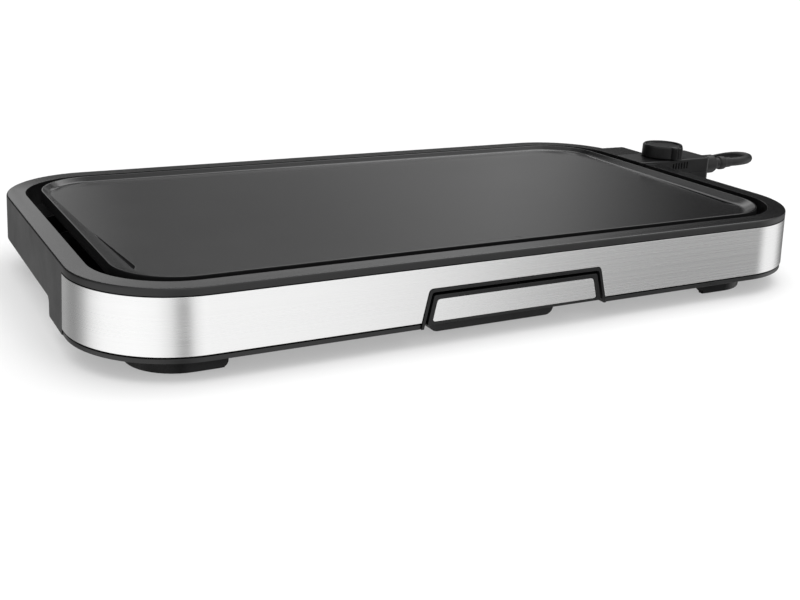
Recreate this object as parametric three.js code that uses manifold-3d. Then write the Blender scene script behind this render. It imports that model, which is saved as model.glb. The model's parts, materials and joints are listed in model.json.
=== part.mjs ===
// Electric griddle with a drip drawer and a plug-in thermostat control.
// Millimetres. X runs along the griddle, -Y is the front and +Z is up.
// The shapes are drawn about the middle of the housing. The exported origin is the middle of the whole object
// at table height, with the control included.
import * as THREE from 'three';
import { mergeVertices } from 'three/addons/utils/BufferGeometryUtils.js';
import Module from 'manifold-3d';

const wasm = await Module();
wasm.setup();

// ---------------------------------------------------------------- driving dimensions
const GAP = 0.3;
const ORIGIN_X = 54;

// Housing outline at rim height. The walls flare outwards as they go down.
const HALF_X = 280;
const HALF_Y = 160;
const CORNER = 68;
const RIM_Z = 58;
const FLARE = 0.0414;
const UPRIGHT_WITHIN = 58;
const FLARED_BEYOND = 62;
const OUTLINE_SEGMENTS = 10;
const WALL = 2.8;
const BEZEL_WIDTH = 13.6;
const BEZEL_SHEET = 2.5;
const FLANGE = 2.2;
const FLANGE_Z = 41;
const SKIRT_Z = 25.3;
const GRIP_END_Y = -49;
const GRIP_RADIUS = 5;

// Steel band and the lip of the base pan under it.
const BAND_TOP = 53.2;
const BAND_BOTTOM = 16.1;
const BAND_SHEET = 0.8;
const BAND_END_TOP_Y = -88;
const BAND_END_BOTTOM_Y = -86.5;
const LIP_TOP = 15.6;
const LIP_BOTTOM = 12.6;

// Drip drawer and its cut-out in the band.
const CUT_TOP = 38.8;
const CUT_HALF_TOP = 67.6;
const CUT_SLOPE = 0.24;
const CUT_RADIUS = 2.8;
const SURROUND = 2.3;
const DRAWER_GAP = 2.1;
const DRAWER_BOTTOM = 15;
const FACE_TOP = 31.4;
const FACE_BOTTOM = 16.7;
const FACE_HALF_TOP = 61.6;
const TRAY_HALF_X = 56;
const TRAY_BACK_Y = -62;
const TRAY_TOP = 34;
const BASIN_LEFT_X = -57;
const BASIN_RIGHT_X = 42.5;
const BASIN_FRONT_Y = -144;
const BASIN_BOTTOM = 2.2;
const BASIN_RADIUS = 6.5;
const TRAY_WALL = 2;

// Feet.
const PAD_HEIGHT = 1.6;

// Base pan.
const PAN_HALF_X = 264;
const PAN_HALF_Y = 144;
const PAN_CORNER = 52;
const PAN_FLOOR_TOP = 15.2;
const PAN_WALL_TOP = 31;

// Griddle plate.
const PLATE_HALF_X = 254.5;
const PLATE_HALF_Y = 140.4;
const PLATE_CORNER = 43;
const LIP_Z = 58.6;
const COOK_Z = 55;
const PLATE_UNDER = 51.4;
const PLATE_EDGE_Z = 50;
const LIP_WIDTH = 1.4;
const FOOT_HALF_BACK = 249;
const FOOT_HALF_FRONT = 244;
const FOOT_HALF_Y = 135.2;
const FOOT_CORNER = 38;
const GROOVE_BACK_Y = -5;
const GROOVE_FRONT_Y = -102;
const GROOVE_TIP_X = 245.6;
const GROOVE_OUTER_X = 243.4;
const GROOVE_WIDTH = 3.2;
const GROOVE_DEPTH = 1.6;
const DRAIN_HALF_X = 23;
const DRAIN_Y = -126.4;
const DRAIN_WIDTH = 6.4;

// Heating parts.
const ELEMENT_RADIUS = 3.5;
const ELEMENT_Z = 47.6;
const REFLECTOR_Z = 38.6;
const BLOCK_X = 228;
const BLOCK_LENGTH = 24;
const BLOCK_BOTTOM = 35.6;
const BLOCK_TOP = PLATE_EDGE_Z - 0.5;

// Thermostat control. It stands in a notch of the frame.
const PROBE_Y = 56;
const PROBE_HALF_Y = 19;
const PROBE_INNER_X = 264;
const PROBE_OUTER_X = 347;
const PROBE_BOTTOM = 37;
const PROBE_SEAM = 46;
const PROBE_TOP = 59;
const NOTCH_Z = 36.4;
const PIN_SPACING = 20;
const PIN_Z = 42.4;
const KNOB_X = 303;
const KNOB_RADIUS = 18.6;
const KNOB_BASE = 59.4;
const KNOB_TOP = 71;
const CORD_Z = 48;

// Ledge of the frame beside the control.
const LEDGE_X = 300;
const LEDGE_BACK_Y = 110;

// Mains cord.
const CORD_RADIUS = 4.2;
const CORD_START_X = 390;
const COIL_X = 172;
const COIL_Y = 238;
const COIL_INNER = 36.6;
const COIL_OUTER = 53.8;
const COIL_BOTTOM = 1.4;
const COIL_TOP = 18.4;
const PLUG_RADIUS = 19;
const PLUG_START_X = 268;
const PLUG_Y = 196;

// ---------------------------------------------------------------- materials
const MATERIALS = {
  frame_plastic: { color: 0x2b2c2e, roughness: 0.42, metalness: 0.0 },
  trim_plastic: { color: 0x151617, roughness: 0.35, metalness: 0.0 },
  base_plastic: { color: 0x1c1d1e, roughness: 0.6, metalness: 0.0 },
  brushed_steel: { color: 0xc9cac8, roughness: 0.34, metalness: 0.95 },
  nonstick: { color: 0x3f4143, roughness: 0.5, metalness: 0.2 },
  sheet_metal: { color: 0xb4b6b6, roughness: 0.4, metalness: 0.9 },
  element_steel: { color: 0x5d5a57, roughness: 0.45, metalness: 0.8 },
  contact_brass: { color: 0xb9a062, roughness: 0.35, metalness: 0.9 },
  ceramic: { color: 0xddd6c6, roughness: 0.7, metalness: 0.0 },
  control_plastic: { color: 0x1b1c1d, roughness: 0.5, metalness: 0.0 },
  rubber: { color: 0x131313, roughness: 0.85, metalness: 0.0 },
  cord_rubber: { color: 0x1a1a1b, roughness: 0.62, metalness: 0.0 },
};

const griddle = new THREE.Group();
griddle.name = 'electric_griddle';

function add(name, geometry, slot) {
  const mesh = new THREE.Mesh(geometry, new THREE.MeshStandardMaterial(MATERIALS[slot]));
  mesh.name = name;
  mesh.position.x = -ORIGIN_X;
  griddle.add(mesh);
}

// ---------------------------------------------------------------- solids
function solid(geometry) {
  const plain = geometry.index ? geometry.toNonIndexed() : geometry.clone();
  plain.deleteAttribute('normal');
  plain.deleteAttribute('uv');
  const merged = mergeVertices(plain, 1e-4);
  const vertProperties = Float32Array.from(merged.attributes.position.array);
  const triVerts = Uint32Array.from(merged.index.array);
  return new wasm.Manifold(new wasm.Mesh({ numProp: 3, vertProperties, triVerts }));
}

function geometryOf(manifold) {
  const mesh = manifold.getMesh();
  const geometry = new THREE.BufferGeometry();
  geometry.setAttribute('position', new THREE.BufferAttribute(Float32Array.from(mesh.vertProperties), 3));
  geometry.setIndex(new THREE.BufferAttribute(Uint32Array.from(mesh.triVerts), 1));
  geometry.computeVertexNormals();
  return geometry;
}

function join(...geometries) {
  return geometryOf(geometries.map(solid).reduce((whole, piece) => whole.add(piece)));
}

function cut(body, ...tools) {
  return geometryOf(tools.map(solid).reduce((rest, tool) => rest.subtract(tool), solid(body)));
}

function common(first, second) {
  return geometryOf(solid(first).intersect(solid(second)));
}

function box(x0, x1, y0, y1, z0, z1) {
  const geometry = new THREE.BoxGeometry(x1 - x0, y1 - y0, z1 - z0);
  return geometry.translate((x0 + x1) / 2, (y0 + y1) / 2, (z0 + z1) / 2);
}

function roundedRect(x0, x1, y0, y1, radius) {
  const shape = new THREE.Shape();
  shape.moveTo(x0 + radius, y0);
  shape.lineTo(x1 - radius, y0);
  shape.absarc(x1 - radius, y0 + radius, radius, -Math.PI / 2, 0, false);
  shape.lineTo(x1, y1 - radius);
  shape.absarc(x1 - radius, y1 - radius, radius, 0, Math.PI / 2, false);
  shape.lineTo(x0 + radius, y1);
  shape.absarc(x0 + radius, y1 - radius, radius, Math.PI / 2, Math.PI, false);
  shape.lineTo(x0, y0 + radius);
  shape.absarc(x0 + radius, y0 + radius, radius, Math.PI, 1.5 * Math.PI, false);
  return shape;
}

// A flat slab of a plan shape between two heights.
function slab(shape, z0, z1, curveSegments = 12) {
  const options = { depth: z1 - z0, bevelEnabled: false, curveSegments };
  return new THREE.ExtrudeGeometry(shape, options).translate(0, 0, z0);
}

// A slab whose top and bottom edges are rounded. The shape given is the widest outline.
function softSlab(x0, x1, y0, y1, radius, z0, z1, edge, curveSegments = 12, bevelSegments = 2) {
  const shape = roundedRect(x0 + edge, x1 - edge, y0 + edge, y1 - edge, Math.max(radius - edge, 0.2));
  const options = {
    depth: z1 - z0 - 2 * edge,
    bevelEnabled: true,
    bevelSize: edge,
    bevelThickness: edge,
    bevelSegments,
    curveSegments,
  };
  return new THREE.ExtrudeGeometry(shape, options).translate(0, 0, z0 + edge);
}

// A slab of the housing outline, moved in from the rim outline by inset.
function outlineSlab(inset, z0, z1) {
  const shape = roundedRect(-HALF_X + inset, HALF_X - inset, -HALF_Y + inset, HALF_Y - inset, CORNER - inset);
  return slab(shape, z0, z1, OUTLINE_SEGMENTS);
}

// A prism standing on the front: its outline is drawn in X and Z, and it reaches from y0 to y1.
function frontPrism(shape, y0, y1, curveSegments = 4) {
  const options = { depth: y1 - y0, bevelEnabled: false, curveSegments };
  return new THREE.ExtrudeGeometry(shape, options).rotateX(Math.PI / 2).translate(0, y1, 0);
}

// A prism seen from the side: its outline is drawn in Y and Z, and it reaches from x0 to x1.
function sidePrism(shape, x0, x1, curveSegments = 6) {
  const options = { depth: x1 - x0, bevelEnabled: false, curveSegments };
  const geometry = new THREE.ExtrudeGeometry(shape, options);
  return geometry.rotateX(Math.PI / 2).rotateZ(Math.PI / 2).translate(x0, 0, 0);
}

function polygon(points) {
  return new THREE.Shape(points.map(([x, y]) => new THREE.Vector2(x, y)));
}

// A turned piece standing upright. The profile lists radius and height, and starts and ends on the axis.
function turned(profile, segments = 20) {
  const points = profile.map(([radius, height]) => new THREE.Vector2(radius, height));
  return new THREE.LatheGeometry(points, segments).rotateX(Math.PI / 2);
}

// A turned piece lying along +X.
function turnedAlongX(profile, segments = 16) {
  return turned(profile, segments).rotateY(Math.PI / 2);
}

function rod(radius, length) {
  return [[0, 0], [radius, 0], [radius, length], [0, length]];
}

// Moves the outer walls outwards below the rim, square to the housing outline.
// What stands further in stays upright.
function flare(geometry) {
  const position = geometry.attributes.position;
  const coreX = HALF_X - CORNER;
  const coreY = HALF_Y - CORNER;
  for (let i = 0; i < position.count; i += 1) {
    const x = position.getX(i);
    const y = position.getY(i);
    const z = position.getZ(i);
    const dx = x - THREE.MathUtils.clamp(x, -coreX, coreX);
    const dy = y - THREE.MathUtils.clamp(y, -coreY, coreY);
    const distance = Math.hypot(dx, dy);
    const share = THREE.MathUtils.clamp((distance - UPRIGHT_WITHIN) / (FLARED_BEYOND - UPRIGHT_WITHIN), 0, 1);
    if (share > 0 && z < RIM_Z) {
      const move = (share * FLARE * (RIM_Z - z)) / distance;
      position.setXYZ(i, x + dx * move, y + dy * move, z);
    }
  }
  geometry.computeVertexNormals();
  return geometry;
}

// The part of the housing in front of the slanted band ends, as a block.
function bandRegion(z0, z1, setback = 0) {
  const slope = (BAND_END_TOP_Y - BAND_END_BOTTOM_Y) / (BAND_TOP - BAND_BOTTOM);
  const endAt = (z) => BAND_END_BOTTOM_Y + slope * (z - BAND_BOTTOM) - setback;
  const side = polygon([[-HALF_Y - 20, z0], [endAt(z0), z0], [endAt(z1), z1], [-HALF_Y - 20, z1]]);
  return sidePrism(side, -HALF_X - 20, HALF_X + 20);
}

// The drawer cut-out, seen from the front. A positive inset makes it smaller.
function cutOutShape(inset, bottom, radius) {
  const top = CUT_TOP - inset;
  const half = CUT_HALF_TOP - inset + CUT_SLOPE * inset;
  const bottomHalf = half + CUT_SLOPE * (top - bottom);
  const shape = new THREE.Shape();
  shape.moveTo(-bottomHalf, bottom);
  shape.lineTo(bottomHalf, bottom);
  shape.lineTo(half + CUT_SLOPE * radius, top - radius);
  shape.quadraticCurveTo(half, top, half - radius, top);
  shape.lineTo(-half + radius, top);
  shape.quadraticCurveTo(-half, top, -half - CUT_SLOPE * radius, top - radius);
  shape.closePath();
  return shape;
}

// ---------------------------------------------------------------- housing
const POSTS = [[263, 84], [263, -84], [-263, 84], [-263, -84], [150, 143.2], [-150, 143.2]];
const POST_RADIUS = 4.6;
const POST_TOP = 47.4;
const POST_BOTTOM = PAN_FLOOR_TOP + GAP;
const BEZEL_UNDER = RIM_Z - BEZEL_SHEET;

// A standing ring between two insets of the housing outline.
function outlineRing(outerInset, innerInset, z0, z1) {
  return cut(outlineSlab(outerInset, z0, z1), outlineSlab(innerInset, z0 - 1, z1 + 1));
}

// Cuts the side and back skirts short, with a rounded step down just behind the front corners.
function gripCutOut() {
  const radius = GRIP_RADIUS;
  const foot = LIP_BOTTOM - 0.4;
  const shape = new THREE.Shape();
  shape.moveTo(HALF_Y + 20, foot - 10);
  shape.lineTo(HALF_Y + 20, SKIRT_Z);
  shape.lineTo(GRIP_END_Y + radius, SKIRT_Z);
  shape.quadraticCurveTo(GRIP_END_Y, SKIRT_Z, GRIP_END_Y, SKIRT_Z - radius);
  shape.lineTo(GRIP_END_Y, foot + radius / 2);
  shape.quadraticCurveTo(GRIP_END_Y, foot, GRIP_END_Y - radius, foot);
  shape.lineTo(GRIP_END_Y - radius, foot - 10);
  shape.closePath();
  return sidePrism(shape, -HALF_X - 20, HALF_X + 20);
}

function ledge() {
  const front = PROBE_Y - PROBE_HALF_Y - 0.8;
  const block = slab(roundedRect(HALF_X - 8, LEDGE_X, front, LEDGE_BACK_Y, 2.5), SKIRT_Z + 5, RIM_Z, 3);
  const hollow = box(
    HALF_X - 9, LEDGE_X - WALL, PROBE_Y + PROBE_HALF_Y + 3.5, LEDGE_BACK_Y - WALL, SKIRT_Z, RIM_Z - WALL,
  );
  return cut(block, hollow);
}

function post([x, y]) {
  return turned(rod(POST_RADIUS, POST_TOP - POST_BOTTOM), 10).translate(x, y, POST_BOTTOM);
}

function frame() {
  const block = common(
    softSlab(-HALF_X, HALF_X, -HALF_Y, HALF_Y, CORNER, 0, RIM_Z, 1.2, OUTLINE_SEGMENTS, 2),
    box(-400, 400, -300, 300, LIP_BOTTOM, RIM_Z + 1),
  );
  const shell = cut(
    join(block, ledge()),
    outlineSlab(WALL, LIP_BOTTOM - 1, BEZEL_UNDER),
    outlineSlab(BEZEL_WIDTH, BEZEL_UNDER - 1, RIM_Z + 1),
  );
  const flange = outlineRing(BEZEL_WIDTH - FLANGE, BEZEL_WIDTH, FLANGE_Z, BEZEL_UNDER + 0.5);
  const body = join(shell, flange, ...POSTS.map(post));

  const bandRecess = common(outlineRing(-6, BAND_SHEET + GAP, 0, BAND_TOP), bandRegion(-1, BAND_TOP + 1));
  const lipRoom = common(outlineRing(-6, 10, 0, BAND_BOTTOM), bandRegion(-1, BAND_BOTTOM));
  const window = frontPrism(cutOutShape(SURROUND - 0.2, 5, CUT_RADIUS), -HALF_Y - 10, -HALF_Y + 12);
  const notchFront = PROBE_Y - PROBE_HALF_Y - 1;
  const notchBack = PROBE_Y + PROBE_HALF_Y + 0.6;
  const notch = box(PROBE_INNER_X - 10, LEDGE_X + 5, notchFront, notchBack, NOTCH_Z, RIM_Z + 5);
  const holes = POSTS.map(([x, y]) => turned(rod(1.8, 13), 8).translate(x, y, POST_BOTTOM - 1));
  return flare(cut(body, bandRecess, lipRoom, window, gripCutOut(), notch, ...holes));
}

function steelBand() {
  const sheet = common(
    outlineRing(0, BAND_SHEET, BAND_BOTTOM, BAND_TOP - GAP),
    bandRegion(BAND_BOTTOM, BAND_TOP, 0.5),
  );
  const window = frontPrism(cutOutShape(0, BAND_BOTTOM - 5, CUT_RADIUS), -HALF_Y - 10, -HALF_Y + 10);
  return flare(cut(sheet, window));
}

function drawerSurround() {
  const front = -HALF_Y - 0.6;
  const back = -HALF_Y + BAND_SHEET;
  const ring = cut(
    frontPrism(cutOutShape(GAP, LIP_BOTTOM, CUT_RADIUS), front, back),
    frontPrism(cutOutShape(SURROUND, LIP_BOTTOM - 1, CUT_RADIUS - 1), front - 1, back + 1),
  );
  return flare(ring);
}

// ---------------------------------------------------------------- base
const PAN_BOSSES = [[200, 96], [-200, 96], [200, -60], [-200, -60]];
const RAIL_X = TRAY_HALF_X + 2.3;
const RAIL_TOP = TRAY_TOP - 2.3;
const RAIL_WIDTH = 2.5;

function panTub() {
  const tub = (inset, z0, z1) => slab(
    roundedRect(
      -PAN_HALF_X + inset, PAN_HALF_X - inset, -PAN_HALF_Y + inset, PAN_HALF_Y - inset, PAN_CORNER - inset,
    ),
    z0, z1, 7,
  );
  return cut(tub(0, LIP_BOTTOM, PAN_WALL_TOP), tub(2.2, PAN_FLOOR_TOP, PAN_WALL_TOP + 1));
}

// Two walls that carry the flanges of the tray, and a wall behind it.
function drawerRails() {
  const outer = RAIL_X + RAIL_WIDTH;
  const back = TRAY_BACK_Y + 3;
  const block = box(-outer, outer, -138, back + RAIL_WIDTH, LIP_BOTTOM + 0.5, RAIL_TOP);
  return cut(block, box(-RAIL_X, RAIL_X, -140, back, 0, RAIL_TOP + 1));
}

function basePan() {
  const lip = common(outlineRing(0.6, 20, LIP_BOTTOM, LIP_TOP), bandRegion(LIP_BOTTOM - 1, LIP_TOP + 1, 0.4));
  const rodsAt = (places, radius, z0, z1, segments) => places.map(([x, y]) => {
    return turned(rod(radius, z1 - z0), segments).translate(x, y, z0);
  });
  const bosses = rodsAt(PAN_BOSSES, 4, LIP_BOTTOM + 1, REFLECTOR_Z - GAP, 10);
  const ears = rodsAt(POSTS, 7.4, LIP_BOTTOM, PAN_FLOOR_TOP, 12);
  const postRoom = rodsAt(POSTS, POST_RADIUS + 0.6, PAN_FLOOR_TOP, PAN_WALL_TOP + 1, 10);
  const stand = box(
    BLOCK_X + 2, BLOCK_X + BLOCK_LENGTH - 2, PROBE_Y - 16, PROBE_Y + 16, LIP_BOTTOM + 1, BLOCK_BOTTOM - GAP,
  );
  const behindSurround = -HALF_Y + BAND_SHEET + GAP;
  const bayFront = frontPrism(cutOutShape(0, 0, CUT_RADIUS), -HALF_Y - 10, behindSurround);
  const bayBack = frontPrism(cutOutShape(SURROUND, 0, CUT_RADIUS - 1), behindSurround - 0.5, -PAN_HALF_Y + 3);
  const basinBay = box(-RAIL_X, RAIL_X, -HALF_Y - 10, TRAY_BACK_Y + 3, 0, PAN_WALL_TOP + 5);
  const holes = rodsAt(POSTS, 1.9, LIP_BOTTOM - 2, PAN_FLOOR_TOP + 2, 8);
  const counterbores = rodsAt(POSTS, 3.9, LIP_BOTTOM - 1, LIP_BOTTOM + 1, 8);
  const body = join(panTub(), drawerRails(), lip, ...bosses, ...ears, stand);
  return flare(cut(body, bayFront, bayBack, basinBay, ...postRoom, ...holes, ...counterbores));
}

function housingScrew() {
  return turned([[0, 0], [2.6, 0], [3.4, 0.5], [3.4, 0.9], [1.5, 0.9], [1.5, 12], [0, 13]], 8);
}

// ---------------------------------------------------------------- feet
const FOOT_RADIUS = 33;
const FOOT_THICKNESS = 8;
const FOOT_CORE = { x: 218.4, y: 113 };
const FOOT_FRONT_RUN = 22;
const FOOT_SIDE_RUN = 17;
// The right-hand feet stand a little further in than the left-hand ones.
const FOOT_SHIFT = 18;
const FEET = [
  { name: 'front_left', sideX: -1, sideY: -1, shift: 0 },
  { name: 'front_right', sideX: 1, sideY: -1, shift: FOOT_SHIFT },
  { name: 'back_left', sideX: -1, sideY: 1, shift: 0 },
  { name: 'back_right', sideX: 1, sideY: 1, shift: FOOT_SHIFT },
];

// A curved strip that follows the corner, with a straight run at each end.
function footShape(place, inset) {
  const outer = FOOT_RADIUS - inset;
  const inner = FOOT_RADIUS - FOOT_THICKNESS + inset;
  const frontEnd = -FOOT_FRONT_RUN + inset;
  const sideEnd = -FOOT_SIDE_RUN + inset;
  const strip = new THREE.Shape();
  strip.moveTo(frontEnd, inner);
  strip.lineTo(0, inner);
  strip.absarc(0, 0, inner, Math.PI / 2, 0, true);
  strip.lineTo(inner, sideEnd);
  strip.lineTo(outer, sideEnd);
  strip.lineTo(outer, 0);
  strip.absarc(0, 0, outer, 0, Math.PI / 2, false);
  strip.lineTo(frontEnd, outer);
  strip.closePath();
  const coreX = FOOT_CORE.x - place.shift;
  return polygon(strip.getPoints(inset === 0 ? 6 : 4).map((point) => [
    place.sideX * (coreX + point.x),
    place.sideY * (FOOT_CORE.y + point.y),
  ]));
}

function foot(place) {
  const coreX = FOOT_CORE.x - place.shift;
  const ends = [place.sideX * (coreX - FOOT_FRONT_RUN), place.sideX * (coreX + 60)];
  const softEnd = frontPrism(roundedRect(Math.min(...ends), Math.max(...ends), 0.6, 40, 5), -200, 200);
  const strip = common(slab(footShape(place, 0), 0, LIP_BOTTOM - GAP), softEnd);
  return cut(strip, slab(footShape(place, 1.7), -1, PAD_HEIGHT + GAP));
}

function footPad(place) {
  return slab(footShape(place, 2), 0, PAD_HEIGHT);
}

// ---------------------------------------------------------------- griddle plate
function plateSlab(inset, z0, z1) {
  const halfX = PLATE_HALF_X - inset;
  const halfY = PLATE_HALF_Y - inset;
  return slab(roundedRect(-halfX, halfX, -halfY, halfY, PLATE_CORNER - inset), z0, z1, 8);
}

// The dish inside the raised border: its wall slopes down to a foot that is wider at the back.
function dish() {
  const geometry = plateSlab(LIP_WIDTH, COOK_Z, LIP_Z + 0.01);
  const position = geometry.attributes.position;
  const scale = FOOT_CORNER / (PLATE_CORNER - LIP_WIDTH);
  for (let i = 0; i < position.count; i += 1) {
    if (position.getZ(i) < COOK_Z + 0.1) {
      const x = position.getX(i);
      const y = position.getY(i);
      const footHalf = y > 0 ? FOOT_HALF_BACK : FOOT_HALF_FRONT;
      const alongX = (Math.abs(x) - PLATE_HALF_X + PLATE_CORNER) * scale;
      const alongY = (Math.abs(y) - PLATE_HALF_Y + PLATE_CORNER) * scale;
      position.setX(i, Math.sign(x) * (footHalf - FOOT_CORNER + alongX));
      position.setY(i, Math.sign(y) * (FOOT_HALF_Y - FOOT_CORNER + alongY));
    }
  }
  return geometry;
}

// A groove along each side of the foot that gets wider and deeper towards the front.
function taperedGroove(side) {
  const top = COOK_Z + 0.02;
  const bottom = COOK_Z - GROOVE_DEPTH;
  const shape = polygon([[GROOVE_BACK_Y, top], [GROOVE_FRONT_Y, top], [GROOVE_FRONT_Y, bottom]]);
  const wedge = sidePrism(shape, -PLATE_HALF_X, PLATE_HALF_X);
  const corners = [
    [side * GROOVE_TIP_X, GROOVE_BACK_Y],
    [side * GROOVE_OUTER_X, GROOVE_FRONT_Y],
    [side * (GROOVE_OUTER_X - GROOVE_WIDTH), GROOVE_FRONT_Y],
  ];
  return common(wedge, slab(polygon(corners), COOK_Z - 3, COOK_Z + 1));
}

function griddlePlate() {
  const soft = softSlab(
    -PLATE_HALF_X, PLATE_HALF_X, -PLATE_HALF_Y, PLATE_HALF_Y, PLATE_CORNER, PLATE_EDGE_Z, LIP_Z, 0.6, 8, 1,
  );
  const under = plateSlab(9, PLATE_EDGE_Z - 1, PLATE_UNDER);
  const slotHalf = DRAIN_WIDTH / 2;
  const slotRadius = slotHalf - 0.2;
  const slot = roundedRect(-DRAIN_HALF_X, DRAIN_HALF_X, DRAIN_Y - slotHalf, DRAIN_Y + slotHalf, slotRadius);
  const drain = slab(slot, PLATE_UNDER - 2, COOK_Z + 2, 5);
  return cut(soft, dish(), under, drain, taperedGroove(-1), taperedGroove(1));
}

// A short chute under the drain slot.
function drainSpout() {
  const bottom = TRAY_TOP + 3.5;
  const top = PLATE_UNDER - GAP;
  const chute = (inset) => {
    const half = DRAIN_HALF_X + 3 - inset;
    return roundedRect(-half, half, DRAIN_Y - 4.6 + inset, DRAIN_Y + 6 - inset, 3 - inset);
  };
  const collar = roundedRect(-DRAIN_HALF_X - 7, DRAIN_HALF_X + 7, DRAIN_Y - 4.6, DRAIN_Y + 9, 3);
  const body = join(slab(chute(0), bottom, top, 2), slab(collar, top - 1, top, 2));
  return cut(body, slab(chute(1), bottom - 1, top + 1, 2));
}

// ---------------------------------------------------------------- heating
const ELEMENT_HALF_X = 190;
const ELEMENT_OUTER_Y = 96;
const ELEMENT_BEND = 30;
const ELEMENT_END_Z = 44.5;

function tube(curve, radius, steps, sides = 10) {
  const section = new THREE.Shape();
  section.absarc(0, 0, radius, 0, Math.PI * 2, false);
  const options = { steps, bevelEnabled: false, extrudePath: curve, curveSegments: sides };
  return new THREE.ExtrudeGeometry(section, options);
}

// One long loop: out of the block, round the plate and back into the block.
function elementCurve() {
  const corners = [
    [BLOCK_X - 2 * GAP, PROBE_Y - PIN_SPACING / 2, ELEMENT_END_Z],
    [206, PROBE_Y - PIN_SPACING / 2, ELEMENT_Z],
    [ELEMENT_HALF_X, 20, ELEMENT_Z],
    [-ELEMENT_HALF_X + 40, 20, ELEMENT_Z],
    [-ELEMENT_HALF_X + 40, -36, ELEMENT_Z],
    [ELEMENT_HALF_X, -36, ELEMENT_Z],
    [ELEMENT_HALF_X, -ELEMENT_OUTER_Y, ELEMENT_Z],
    [-ELEMENT_HALF_X, -ELEMENT_OUTER_Y, ELEMENT_Z],
    [-ELEMENT_HALF_X, ELEMENT_OUTER_Y, ELEMENT_Z],
    [ELEMENT_HALF_X, ELEMENT_OUTER_Y, ELEMENT_Z],
    [206, PROBE_Y + PIN_SPACING / 2, ELEMENT_Z],
    [BLOCK_X - 2 * GAP, PROBE_Y + PIN_SPACING / 2, ELEMENT_END_Z],
  ].map(([x, y, z]) => new THREE.Vector3(x, y, z));
  return roundedPath(corners, ELEMENT_BEND);
}

// A path of straight runs joined by smooth bends that start at most reach before each corner.
function roundedPath(corners, reach) {
  const path = new THREE.CurvePath();
  let from = corners[0];
  for (let i = 1; i < corners.length - 1; i += 1) {
    const before = corners[i - 1].distanceTo(corners[i]);
    const after = corners[i].distanceTo(corners[i + 1]);
    const bend = Math.min(reach, before * 0.45, after * 0.45);
    const start = corners[i].clone().lerp(corners[i - 1], bend / before);
    const end = corners[i].clone().lerp(corners[i + 1], bend / after);
    path.add(new THREE.LineCurve3(from, start));
    path.add(new THREE.QuadraticBezierCurve3(start, corners[i], end));
    from = end;
  }
  path.add(new THREE.LineCurve3(from, corners[corners.length - 1]));
  return path;
}

function heatReflector() {
  const tray = (inset, z0, z1) => slab(
    roundedRect(-214 + inset, 214 - inset, -113 + inset, 128 - inset, 26 - inset), z0, z1, 5,
  );
  const gate = box(205, 220, PROBE_Y - 17, PROBE_Y + 17, REFLECTOR_Z + 1.4, REFLECTOR_Z + 10);
  return cut(tray(0, REFLECTOR_Z, REFLECTOR_Z + 6), tray(0.9, REFLECTOR_Z + 0.9, REFLECTOR_Z + 7), gate);
}

// A strip across the reflector that carries the element.
function elementBracket(x) {
  const bottom = REFLECTOR_Z + 0.9 + GAP;
  const top = ELEMENT_Z - ELEMENT_RADIUS - GAP;
  const strip = box(x - 5, x + 5, -106, 106, bottom, top);
  const spans = [[-84, -48], [-24, 8], [32, 84]];
  return cut(strip, ...spans.map(([y0, y1]) => box(x - 6, x + 6, y0, y1, bottom - 1, top - 1)));
}

function terminalBlock() {
  const half = 16;
  const outer = softSlab(
    BLOCK_X, BLOCK_X + BLOCK_LENGTH, PROBE_Y - half, PROBE_Y + half, 3, BLOCK_BOTTOM, BLOCK_TOP, 0.8, 3, 1,
  );
  const guide = turnedAlongX(rod(3.3, BLOCK_LENGTH + 4), 14).translate(BLOCK_X - 2, PROBE_Y, PIN_Z);
  return cut(outer, guide);
}

function contactPin() {
  const length = 21;
  return turnedAlongX([[0, 0], [2, 0], [2, length - 2], [1.2, length], [0, length]], 10);
}

// ---------------------------------------------------------------- drip drawer
const FRONT_INSET = SURROUND + DRAWER_GAP;
const FRONT_BACK_Y = -HALF_Y + 4.5;

function faceShape(grow) {
  const slope = CUT_SLOPE;
  const top = FACE_TOP + grow;
  const bottom = FACE_BOTTOM - grow;
  const half = FACE_HALF_TOP + grow;
  const shape = new THREE.Shape();
  const bottomHalf = half + slope * (top - bottom);
  const radius = 2.2;
  shape.moveTo(-bottomHalf + radius, bottom);
  shape.lineTo(bottomHalf - radius, bottom);
  shape.quadraticCurveTo(bottomHalf, bottom, bottomHalf - slope * radius, bottom + radius);
  shape.lineTo(half + slope * radius, top - radius);
  shape.quadraticCurveTo(half, top, half - radius, top);
  shape.lineTo(-half + radius, top);
  shape.quadraticCurveTo(-half, top, -half - slope * radius, top - radius);
  shape.lineTo(-bottomHalf + slope * radius, bottom + radius);
  shape.quadraticCurveTo(-bottomHalf, bottom, -bottomHalf + radius, bottom);
  return shape;
}

function drawerFront() {
  const front = -HALF_Y - 0.5;
  const panel = frontPrism(cutOutShape(FRONT_INSET, DRAWER_BOTTOM, CUT_RADIUS - 1.5), front, FRONT_BACK_Y);
  const pocket = frontPrism(faceShape(GAP), front - 1, -HALF_Y + 0.9 + GAP);
  return flare(cut(panel, pocket));
}

function drawerFacePlate() {
  return flare(frontPrism(faceShape(0), -HALF_Y, -HALF_Y + 0.9));
}

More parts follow.
